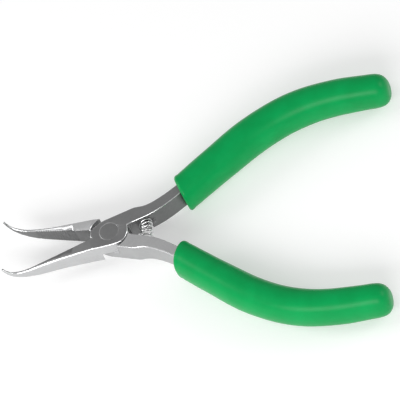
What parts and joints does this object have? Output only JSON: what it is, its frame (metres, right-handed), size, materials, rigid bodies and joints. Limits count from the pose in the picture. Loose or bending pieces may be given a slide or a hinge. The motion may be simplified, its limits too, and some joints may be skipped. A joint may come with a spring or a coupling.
{
  "type": "needle nose pliers",
  "caption": "Bent needle nose pliers with a lap joint, serrated jaws, coil return spring and cushion grips, shown open.",
  "frame": {"origin": "on the pivot axis, in the plane of the joint's rear face", "axes": "+Z along the pivot axis towards the side that the noses curve to, +X midway between the two handles, away from the jaws"},
  "size_m": [0.1297, 0.0908, 0.0138],
  "materials": {
    "tool_steel": "satin",
    "rivet_steel": "satin",
    "spring_wire": "bright",
    "grip_vinyl": "semi-gloss"
  },
  "bodies": {
    "front_half": {"front_lever": "tool_steel", "front_grip": "grip_vinyl", "pivot_rivet": "rivet_steel", "return_spring": "spring_wire"},
    "rear_half": {"rear_lever": "tool_steel", "rear_grip": "grip_vinyl"}
  },
  "joints": [
    {"name": "pivot", "type": "hinge", "parent": "front_half", "child": "rear_half", "pos_m": [0, 0, 0.0039], "axis": [0, 0, 1], "range_deg": [-8, 27.8], "stiffness_Nm_per_rad": 0.45, "deforming": ["return_spring"]}
  ]
}
